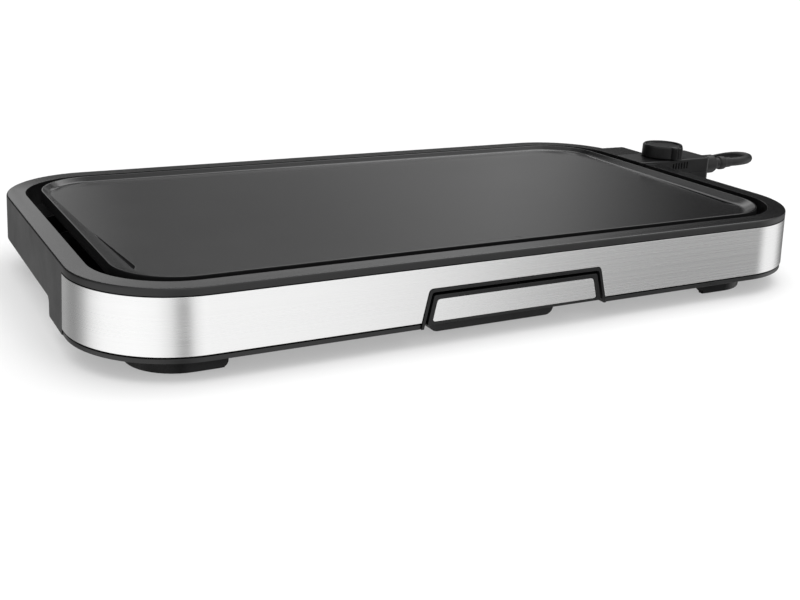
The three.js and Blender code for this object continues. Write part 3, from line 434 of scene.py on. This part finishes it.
def smooth_line(points, steps):
    """A centripetal Catmull-Rom line through the points."""
    places = [Vector(p) for p in points]
    places = [places[0] * 2.0 - places[1], *places, places[-1] * 2.0 - places[-2]]
    line = []
    for i in range(1, len(places) - 2):
        p0, p1, p2, p3 = places[i - 1:i + 3]
        t1 = (p1 - p0).length ** 0.5
        t2 = t1 + (p2 - p1).length ** 0.5
        t3 = t2 + (p3 - p2).length ** 0.5
        for k in range(steps):
            t = t1 + (t2 - t1) * k / steps
            a1 = p0 * ((t1 - t) / t1) + p1 * (t / t1)
            a2 = p1 * ((t2 - t) / (t2 - t1)) + p2 * ((t - t1) / (t2 - t1))
            a3 = p2 * ((t3 - t) / (t3 - t2)) + p3 * ((t - t2) / (t3 - t2))
            b1 = a1 * ((t2 - t) / t2) + a2 * (t / t2)
            b2 = a2 * ((t3 - t) / (t3 - t1)) + a3 * ((t - t1) / (t3 - t1))
            line.append(b1 * ((t2 - t) / (t2 - t1)) + b2 * ((t - t1) / (t2 - t1)))
    line.append(places[-2])
    return line


def line_length(line):
    return sum((b - a).length for a, b in zip(line, line[1:]))


def make_cord():
    line = smooth_line(CORD_ROUTE + coil_points() + PLUG_ROUTE, CORD_STEPS)
    data = bpy.data.curves.new("mains_cord", "CURVE")
    data.dimensions = "3D"
    data.bevel_depth = CORD_RADIUS * MM
    data.bevel_resolution = 4
    data.use_fill_caps = True
    spline = data.splines.new("POLY")
    spline.points.add(len(line) - 1)
    for point, place in zip(spline.points, line):
        point.co = (*at(*place), 1.0)
    spline.use_smooth = True
    piece = bpy.data.objects.new("mains_cord", data)
    bpy.context.scene.collection.objects.link(piece)
    dressed(piece, "control", "cord_rubber", "power_cord", "cord_coil", "plug_cord")
    return piece, line_length(line) * MM


cord, cord_length = make_cord()
strain_relief = refined("strain_relief", "cord_strain_relief", 0.25)
plug_pieces = [
    refined("plug_body", "mains_plug_body", 0.5),
    refined("plug_pin_1", "mains_plug_pin_1", 0.2),
    refined("plug_pin_2", "mains_plug_pin_2", 0.2),
    refined("coil_tie", "cord_coil_tie", 0.3),
    strain_relief,
]


# ---------------------------------------------------------------- griddle plate
PLATE_HALF_X = 254.5
PLATE_HALF_Y = 140.4
PLATE_CORNER = 43.0
LIP_Z = 58.6
COOK_Z = 55.0
UNDER_Z = 51.4
EDGE_Z = 50.0
LIP_WIDTH = 1.4
FOOT_HALF_BACK = 249.0
FOOT_HALF_FRONT = 244.0
FOOT_HALF_Y = 135.2
FOOT_CORNER = 38.0
DRAIN_HALF_X = 23.0
DRAIN_Y = -126.4
DRAIN_HALF_Y = 3.2
SLOT_ARC_STEPS = 12
# How much of the border's width is rounded on both sides of its foot and of its upper edge.
FOOT_ROUND = 0.3
LIP_ROUND = 0.06


def outline(half_x, half_y, radius, corner_steps=20, side_steps=(12, 7)):
    """Points round a rectangle with round corners, anticlockwise, the same number whatever its size."""
    points = []
    corners = ((1, -1, -90.0), (1, 1, 0.0), (-1, 1, 90.0), (-1, -1, 180.0))
    for index, (side_x, side_y, start) in enumerate(corners):
        centre = Vector((side_x * (half_x - radius), side_y * (half_y - radius)))
        for k in range(corner_steps + 1):
            angle = math.radians(start + 90.0 * k / corner_steps)
            points.append(centre + Vector((math.cos(angle), math.sin(angle))) * radius)
        following = corners[(index + 1) % 4]
        end = Vector((following[0] * (half_x - radius), following[1] * (half_y - radius)))
        turn = math.radians(start + 90.0)
        first = centre + Vector((math.cos(turn), math.sin(turn))) * radius
        last = end + Vector((math.cos(turn), math.sin(turn))) * radius
        steps = side_steps[1] if index % 2 == 0 else side_steps[0]
        for k in range(1, steps):
            points.append(first.lerp(last, k / steps))
    return points


def ring_of(bm, points, height):
    return [bm.verts.new(at(p.x, p.y, height)) for p in points]


def bridge(bm, lower, upper):
    count = len(lower)
    for i in range(count):
        j = (i + 1) % count
        bm.faces.new((lower[i], lower[j], upper[j], upper[i]))


def filled(bm, loops):
    """Fills the flat area inside the first closed loop of vertices. The other loops become edges in it."""
    corners = [vertex for loop in loops for vertex in loop]
    edges = []
    for loop in loops:
        start = len(edges)
        edges += [(start + i, start + (i + 1) % len(loop)) for i in range(len(loop))]
    flat = [Vector((vertex.co.x, vertex.co.y)) / MM for vertex in corners]
    made = geometry.delaunay_2d_cdt(flat, edges, [], 2, 0.00001)
    for face in made[2]:
        bm.faces.new([corners[made[3][index][0]] for index in face])


def slot_points(grow=0.0):
    half_x = DRAIN_HALF_X + grow
    half_y = DRAIN_HALF_Y + grow
    points = []
    for side, start in ((1, -90.0), (-1, 90.0)):
        for k in range(SLOT_ARC_STEPS + 1):
            angle = math.radians(start + 180.0 * k / SLOT_ARC_STEPS)
            points.append(Vector((
                side * (half_x - half_y) + half_y * math.cos(angle),
                DRAIN_Y + half_y * math.sin(angle),
            )))
    return points


GROOVE_TIP_Y = -5.0
GROOVE_FULL_Y = -98.0
GROOVE_END_Y = -104.0
GROOVE_SIDE_X = 225.0
GROOVE_TIP_WIDTH = 0.3
GROOVE_WIDTH = 3.2
GROOVE_DEPTH = 1.6


def groove_share(place):
    """The size of the groove beside a point of the foot, from 0 where there is none to 1.

    There is a groove at both ends of the plate. It is pointed at the back and grows towards the front."""
    if abs(place.x) < GROOVE_SIDE_X or not GROOVE_END_Y < place.y < GROOVE_TIP_Y:
        return 0.0
    if place.y > GROOVE_FULL_Y:
        return (GROOVE_TIP_Y - place.y) / (GROOVE_TIP_Y - GROOVE_FULL_Y)
    return (place.y - GROOVE_END_Y) / (GROOVE_FULL_Y - GROOVE_END_Y)


def foot_of(place):
    """Where the slope of the border ends, below a point of the lip's inner edge."""
    reach_x = PLATE_HALF_X - PLATE_CORNER
    reach_y = PLATE_HALF_Y - PLATE_CORNER
    scale = FOOT_CORNER / (PLATE_CORNER - LIP_WIDTH)
    back = min(max(0.5 + 0.5 * place.y / reach_y, 0.0), 1.0)
    straight_x = FOOT_HALF_FRONT + (FOOT_HALF_BACK - FOOT_HALF_FRONT) * back - FOOT_CORNER
    straight_y = FOOT_HALF_Y - FOOT_CORNER
    x = min(abs(place.x) / reach_x, 1.0) * straight_x + max(abs(place.x) - reach_x, 0.0) * scale
    y = min(abs(place.y) / reach_y, 1.0) * straight_y + max(abs(place.y) - reach_y, 0.0) * scale
    return Vector((math.copysign(x, place.x), math.copysign(y, place.y)))


# The outer wall from its inner lower edge round to the lip: distance inside the outline, and height.
WALL_PROFILE = (
    (9.0, UNDER_Z), (9.0, EDGE_Z + 0.3), (8.7, EDGE_Z), (0.5, EDGE_Z), (0.15, EDGE_Z + 0.15),
    (0.0, EDGE_Z + 0.5), (0.0, LIP_Z - 0.9), (0.12, LIP_Z - 0.42), (0.35, LIP_Z - 0.13), (0.65, LIP_Z),
)
# The border: where its loops lie between its upper edge at 0 and its foot at 1.
BORDER_PROFILE = (
    -LIP_ROUND, -0.03, 0.0, 0.03, LIP_ROUND, 0.12, 0.4, 0.7, 0.78, 0.86, 0.94, 1.02, 1.1, 1.18, 1.26,
)
# The groove: share of its width, counted from outside, and share of its depth.
GROOVE_PROFILE = ((0.0, 0.0), (0.12, 0.7), (0.35, 1.0), (0.7, 0.8), (0.9, 0.2), (1.0, 0.0))
# The drain slot, with a faint bead round it: growth of the outline, and height.
SLOT_PROFILE = (
    (0.7, COOK_Z), (0.5, COOK_Z + 0.12), (0.25, COOK_Z + 0.1), (0.0, COOK_Z - 0.15), (0.0, UNDER_Z + 0.2),
)
SLOT_UNDER_GROWTH = 0.3


def make_plate():
    bm = bmesh.new()

    def loop(inset, height):
        return ring_of(bm, outline(PLATE_HALF_X - inset, PLATE_HALF_Y - inset, PLATE_CORNER - inset), height)

    inner = outline(PLATE_HALF_X - LIP_WIDTH, PLATE_HALF_Y - LIP_WIDTH, PLATE_CORNER - LIP_WIDTH)
    foot = [foot_of(place) for place in inner]
    fall = LIP_Z - COOK_Z

    def slope(share):
        """A loop on the border, from 0 at the lip to 1 at the foot, where the surface turns level."""
        rise = max(0.0, 1.0 - share)
        if share < LIP_ROUND:
            rise = 1.0 - (share + LIP_ROUND) ** 2 / (4.0 * LIP_ROUND)
        if abs(share - 1.0) < FOOT_ROUND:
            rise = (1.0 + FOOT_ROUND - share) ** 2 / (4.0 * FOOT_ROUND)
        places = [a.lerp(b, share) for a, b in zip(inner, foot)]
        return ring_of(bm, places, COOK_Z + fall * rise)

    def groove(across, depth):
        """A loop across the groove, from 0 at its outer edge to 1 at its inner edge."""
        points = []
        for a, b in zip(inner, foot):
            place = a.lerp(b, 1.0 + FOOT_ROUND)
            share = groove_share(place)
            way = (b - a).normalized()
            place += way * across * (GROOVE_TIP_WIDTH + GROOVE_WIDTH * share)
            points.append(bm.verts.new(at(place.x, place.y, COOK_Z - depth * GROOVE_DEPTH * share)))
        return points

    loops = [loop(inset, height) for inset, height in WALL_PROFILE]
    loops += [slope(share) for share in BORDER_PROFILE]
    loops += [groove(across, depth) for across, depth in GROOVE_PROFILE]
    for lower, upper in zip(loops, loops[1:]):
        bridge(bm, lower, upper)

    slot = [ring_of(bm, slot_points(grow), height) for grow, height in SLOT_PROFILE]
    for upper, lower in zip(slot, slot[1:]):
        bridge(bm, lower, upper)
    slot_under = ring_of(bm, slot_points(SLOT_UNDER_GROWTH), UNDER_Z)
    bridge(bm, slot_under, slot[-1])

    filled(bm, [loops[-1], slot[0]])
    filled(bm, [loops[0], slot_under])
    bmesh.ops.recalc_face_normals(bm, faces=bm.faces)
    piece = finished_mesh(bm, "coated_griddle_plate", 50.0)
    return dressed(piece, "plate", "nonstick", "griddle_plate")


make_plate()


# ---------------------------------------------------------------- housing
BEZEL_WIDTH = 13.6
RIM_TILT = 0.1
# A face belongs to the rim if it is as level as this, lies within this depth under the rim's height
# and not further inside the bezel than this.
RIM_LEVEL = 0.99
RIM_DEPTH = 1.5
RIM_MARGIN = 1.0
# The joints left open along the band, and how close to its edges in metres a vertex counts as part of them.
EDGE_ROOM_TOP = 0.4
EDGE_ROOM_BOTTOM = 0.7
EDGE_WITHIN = 0.0002


def outward(x, y):
    """The way out of the housing at a point near its edge, and how far inside the outline it lies."""
    across = Vector((
        math.copysign(max(abs(x) - (HALF_X - CORNER), 0.0), x),
        math.copysign(max(abs(y) - (HALF_Y - CORNER), 0.0), y),
    ))
    return across.normalized(), CORNER - across.length


def make_frame():
    """The moulded frame. Its rim is flat but shades as if it fell away slightly towards the outside."""
    bm = softened(solid_of("frame"), 0.35)
    piece = finished_mesh(bm, "moulded_frame")
    graph = bpy.context.evaluated_depsgraph_get()
    mesh = bpy.data.meshes.new_from_object(piece.evaluated_get(graph))
    piece.modifiers.clear()
    piece.data = mesh
    normals = [Vector(corner.vector) for corner in mesh.corner_normals]
    for polygon in mesh.polygons:
        if polygon.normal.z < RIM_LEVEL or polygon.center.z < (RIM_Z - RIM_DEPTH) * MM:
            continue
        for corner in polygon.loop_indices:
            place = mesh.vertices[mesh.loops[corner].vertex_index].co / MM
            way, inset = outward(place.x + ORIGIN_X, place.y)
            if inset < BEZEL_WIDTH + RIM_MARGIN:
                normals[corner] = Vector((way.x * RIM_TILT, way.y * RIM_TILT, 1.0)).normalized()
    mesh.normals_split_custom_set(normals)
    return dressed(piece, "housing", "frame_plastic", "frame")


def make_steel_band():
    """The band with a dark joint left open along its upper and lower edges, which are rounded over."""
    bm = solid_of("steel_band")
    heights = [vertex.co.z for vertex in bm.verts]
    low, high = min(heights), max(heights)
    for vertex in bm.verts:
        if vertex.co.z > high - EDGE_WITHIN:
            vertex.co.z -= EDGE_ROOM_TOP * MM
        elif vertex.co.z < low + EDGE_WITHIN:
            vertex.co.z += EDGE_ROOM_BOTTOM * MM
    softened(bm, 0.25, segments=3)
    return dressed(finished_mesh(bm, "brushed_steel_band"), "housing", "brushed_steel", "steel_band")


make_frame()
make_steel_band()
refined("drawer_surround", "drawer_opening_trim", 0.2)
refined("base_pan", "moulded_base_pan", 0.3)
for corner in ("front_left", "front_right", "back_left", "back_right"):
    refined("foot_" + corner, "moulded_foot_" + corner, 0.6)
    refined("foot_pad_" + corner, "rubber_pad_" + corner, 0.2)
for number in range(1, 7):
    refined(f"housing_screw_{number}", f"housing_screw_head_{number}", 0.1)

# ---------------------------------------------------------------- drawer
refined("drawer_front", "drawer_front_frame", 0.35)
refined("drawer_face_plate", "drawer_steel_plate", 0.15)
refined("drawer_tray", "drip_tray", 0.5)

# ---------------------------------------------------------------- heating
refined("drain_spout", "drain_spout_sheet", 0.15)
refined("heating_element", "tubular_element", 0.0, 60.0)
refined("element_bracket_left", "element_bracket_sheet_left", 0.2)
refined("element_bracket_right", "element_bracket_sheet_right", 0.2)
refined("heat_reflector", "reflector_sheet", 0.25)
refined("terminal_block", "terminal_block_ceramic", 0.3)
refined("temperature_stem", "temperature_stem_tube", 0.15)
refined("thermostat_switch", "thermostat_switch_block", 0.4)
for number in (1, 2):
    refined(f"contact_pin_{number}", f"contact_pin_rod_{number}", 0.15)
    refined(f"contact_sleeve_{number}", f"contact_sleeve_tube_{number}", 0.1)
    refined(f"control_screw_{number}", f"control_screw_head_{number}", 0.1)

# ---------------------------------------------------------------- thermostat control
refined("control_lower_shell", "control_shell_lower", 0.4)
refined("control_upper_shell", "control_shell_upper", 0.3)
refined("knob_shaft", "knob_shaft_rod", 0.15)
refined("control_knob", "control_knob_moulding", 0.35)


# ---------------------------------------------------------------- floor and light
# The floor is a lit table, so that the shadow on it stays pale. Its glow grows with the distance in metres.
FLOOR_GLOW = (0.375, 0.66)
FLOOR_GLOW_REACH = (0.7, 2.6)
FLOOR_TONE = 0.47
FLOOR_RADIUS = 40.0
FLOOR_DROP = 0.0002


def make_floor():
    bm = bmesh.new()
    bmesh.ops.create_circle(bm, cap_ends=True, segments=96, radius=FLOOR_RADIUS)
    mesh = bpy.data.meshes.new("floor")
    bm.to_mesh(mesh)
    bm.free()
    material, nodes, links, shader = fresh_material("pale_floor")
    shader.inputs["Base Color"].default_value = (FLOOR_TONE, FLOOR_TONE, FLOOR_TONE, 1.0)
    shader.inputs["Roughness"].default_value = 1.0
    shader.inputs["Specular IOR Level"].default_value = 0.0
    shader.inputs["Emission Color"].default_value = (1.0, 1.0, 1.0, 1.0)
    coordinates = nodes.new("ShaderNodeTexCoord")
    distance = nodes.new("ShaderNodeVectorMath")
    distance.operation = "LENGTH"
    links.new(coordinates.outputs["Object"], distance.inputs[0])
    glow = ranged(nodes, links, distance.outputs["Value"], *FLOOR_GLOW, *FLOOR_GLOW_REACH)
    links.new(glow, shader.inputs["Emission Strength"])
    mesh.materials.append(material)
    floor = bpy.data.objects.new("floor", mesh)
    floor.location = (0.0, 0.0, -FLOOR_DROP)
    floor.visible_glossy = False
    bpy.context.scene.collection.objects.link(floor)


# The studio in rows, one above the other. Each row has the heights between which it takes over from
# the one below, as the sine of the elevation, and its brightness all round, as pairs of an angle in
# degrees from the front towards the right and a brightness.
STUDIO_GAIN = 1.4
STUDIO_ROWS = (
    # Below the horizon: the steel band and the skirts mirror it.
    (None, (
        (-180.0, 0.26), (-160.0, 0.30), (-148.0, 0.24), (-136.0, 0.22), (-124.0, 0.34), (-108.0, 0.72),
        (-94.0, 0.84), (-60.0, 0.86), (-36.0, 0.80), (-22.0, 0.60), (-12.0, 0.22), (-6.0, 0.18), (2.0, 0.62),
        (12.0, 0.78), (26.0, 0.74), (31.0, 0.64), (36.0, 0.27), (42.0, 0.15), (50.0, 0.14), (56.0, 0.42),
        (64.0, 0.72), (86.0, 0.72), (100.0, 0.36), (112.0, 0.14), (140.0, 0.16), (180.0, 0.26),
    )),
    # At the horizon: dark behind, light in front.
    ((-0.10, 0.00), (
        (-180.0, 0.04), (-150.0, 0.03), (-120.0, 0.10), (-90.0, 0.60), (0.0, 0.90), (80.0, 0.60),
        (105.0, 0.03), (136.0, 0.03), (146.0, 0.08), (161.0, 0.09), (180.0, 0.04),
    )),
    # A soft glow behind, which the level plate mirrors.
    ((0.12, 0.17), (
        (-180.0, 0.40), (-176.0, 0.04), (-150.0, 0.03), (-120.0, 0.10), (-90.0, 0.60), (0.0, 0.90),
        (80.0, 0.60), (105.0, 0.01), (131.0, 0.01), (136.4, 0.02), (139.0, 0.10), (141.0, 0.18),
        (143.7, 0.30), (146.3, 0.33), (151.0, 0.26), (156.5, 0.19), (161.0, 0.16), (166.0, 0.13),
        (170.0, 0.36), (174.0, 0.66), (179.0, 0.62),
    )),
    # A bright strip light behind.
    ((0.35, 0.38), (
        (-180.0, 0.60), (-176.0, 0.05), (-160.0, 0.03), (-120.0, 0.10), (-90.0, 0.60), (0.0, 0.90),
        (80.0, 0.60), (110.0, 0.03), (131.0, 0.05), (136.0, 0.25), (141.0, 0.70), (146.0, 1.00),
        (179.0, 1.00),
    )),
    # A dark stretch between the strip light and the overhead light.
    ((0.48, 0.52), (
        (-180.0, 0.03), (-160.0, 0.03), (-120.0, 0.20), (-90.0, 0.60), (0.0, 0.90), (80.0, 0.60),
        (128.0, 0.80), (136.0, 0.20), (146.0, 0.06), (158.0, 0.20), (180.0, 0.30),
    )),
    # A second strip light high up behind.
    ((0.60, 0.66), (
        (-180.0, 0.03), (-160.0, 0.03), (-120.0, 0.20), (-90.0, 0.60), (0.0, 0.90), (80.0, 0.70),
        (110.0, 2.40), (140.0, 2.40), (148.0, 0.40), (156.0, 0.35), (165.0, 0.50), (180.0, 0.50),
    )),
    # Its upper part, which reaches further to the left.
    ((0.80, 0.84), (
        (-180.0, 2.40), (-170.0, 0.20), (-120.0, 0.20), (-90.0, 0.60), (0.0, 0.90), (80.0, 0.70),
        (110.0, 2.40), (180.0, 2.40),
    )),
    # The overhead light.
    ((0.92, 0.96), ((-180.0, 0.50), (180.0, 0.50))),
)


def make_world():
    world = bpy.data.worlds.new("studio")
    bpy.context.scene.world = world
    world.use_nodes = True
    nodes, links = world.node_tree.nodes, world.node_tree.links
    background = nodes["Background"]

    def math_node(operation, first, second):
        node = nodes.new("ShaderNodeMath")
        node.operation = operation
        links.new(first, node.inputs[0])
        if isinstance(second, float):
            node.inputs[1].default_value = second
        else:
            links.new(second, node.inputs[1])
        return node.outputs[0]

    def mix(share, first, second):
        """Blends two colours. Each is a socket or a plain brightness."""
        node = nodes.new("ShaderNodeMix")
        node.data_type = "RGBA"
        links.new(share, node.inputs["Factor"])
        for name, value in (("A", first), ("B", second)):
            socket = [s for s in node.inputs if s.name == name and s.type == "RGBA"][0]
            if isinstance(value, float):
                socket.default_value = (value, value, value, 1.0)
            else:
                links.new(value, socket)
        return [s for s in node.outputs if s.type == "RGBA"][0]

    coordinates = nodes.new("ShaderNodeTexCoord")
    parts = nodes.new("ShaderNodeSeparateXYZ")
    links.new(coordinates.outputs["Generated"], parts.inputs[0])
    towards_front = math_node("MULTIPLY", parts.outputs["Y"], -1.0)
    angle = math_node("ARCTAN2", parts.outputs["X"], towards_front)
    share = math_node("ADD", math_node("MULTIPLY", angle, 0.5 / math.pi), 0.5)

    def all_round(stops):
        ramp = nodes.new("ShaderNodeValToRGB")
        elements = ramp.color_ramp.elements
        while len(elements) > 1:
            elements.remove(elements[-1])
        for index, (degrees, value) in enumerate(stops):
            place = (degrees + 180.0) / 360.0
            element = elements[0] if index == 0 else elements.new(place)
            element.position = place
            element.color = (value, value, value, 1.0)
        links.new(share, ramp.inputs["Fac"])
        return ramp.outputs["Color"]

    def above(edge):
        height = nodes.new("ShaderNodeMapRange")
        height.interpolation_type = "SMOOTHSTEP"
        height.inputs["From Min"].default_value, height.inputs["From Max"].default_value = edge
        links.new(parts.outputs["Z"], height.inputs["Value"])
        return height.outputs["Result"]

    studio = all_round(STUDIO_ROWS[0][1])
    for edge, stops in STUDIO_ROWS[1:]:
        studio = mix(above(edge), studio, all_round(stops))
    gain = nodes.new("ShaderNodeVectorMath")
    gain.operation = "SCALE"
    gain.inputs["Scale"].default_value = STUDIO_GAIN
    links.new(studio, gain.inputs[0])
    seen = nodes.new("ShaderNodeLightPath")
    links.new(mix(seen.outputs["Is Camera Ray"], gain.outputs[0], 1.0), background.inputs["Color"])
    background.inputs["Strength"].default_value = 1.0


# In metres and watts.
SOFTBOX_PLACE = (-0.1, -0.2, 1.9)
SOFTBOX_AIM = (0.0, 0.0, 0.0)
SOFTBOX_SIZE = (2.4, 1.8)
SOFTBOX_POWER = 26.0


def make_softbox(name, place, aim, size, power):
    """A soft light from above. It lights the matt surfaces but shows in no reflection."""
    data = bpy.data.lights.new(name, "AREA")
    data.shape = "RECTANGLE"
    data.size, data.size_y = size
    data.energy = power
    light = bpy.data.objects.new(name, data)
    light.location = place
    light.visible_glossy = False
    light.rotation_euler = (Vector(aim) - Vector(place)).to_track_quat("-Z", "Y").to_euler()
    bpy.context.scene.collection.objects.link(light)


make_floor()
make_world()
make_softbox("overhead_softbox", SOFTBOX_PLACE, SOFTBOX_AIM, SOFTBOX_SIZE, SOFTBOX_POWER)
bpy.context.scene.view_settings.view_transform = "Standard"
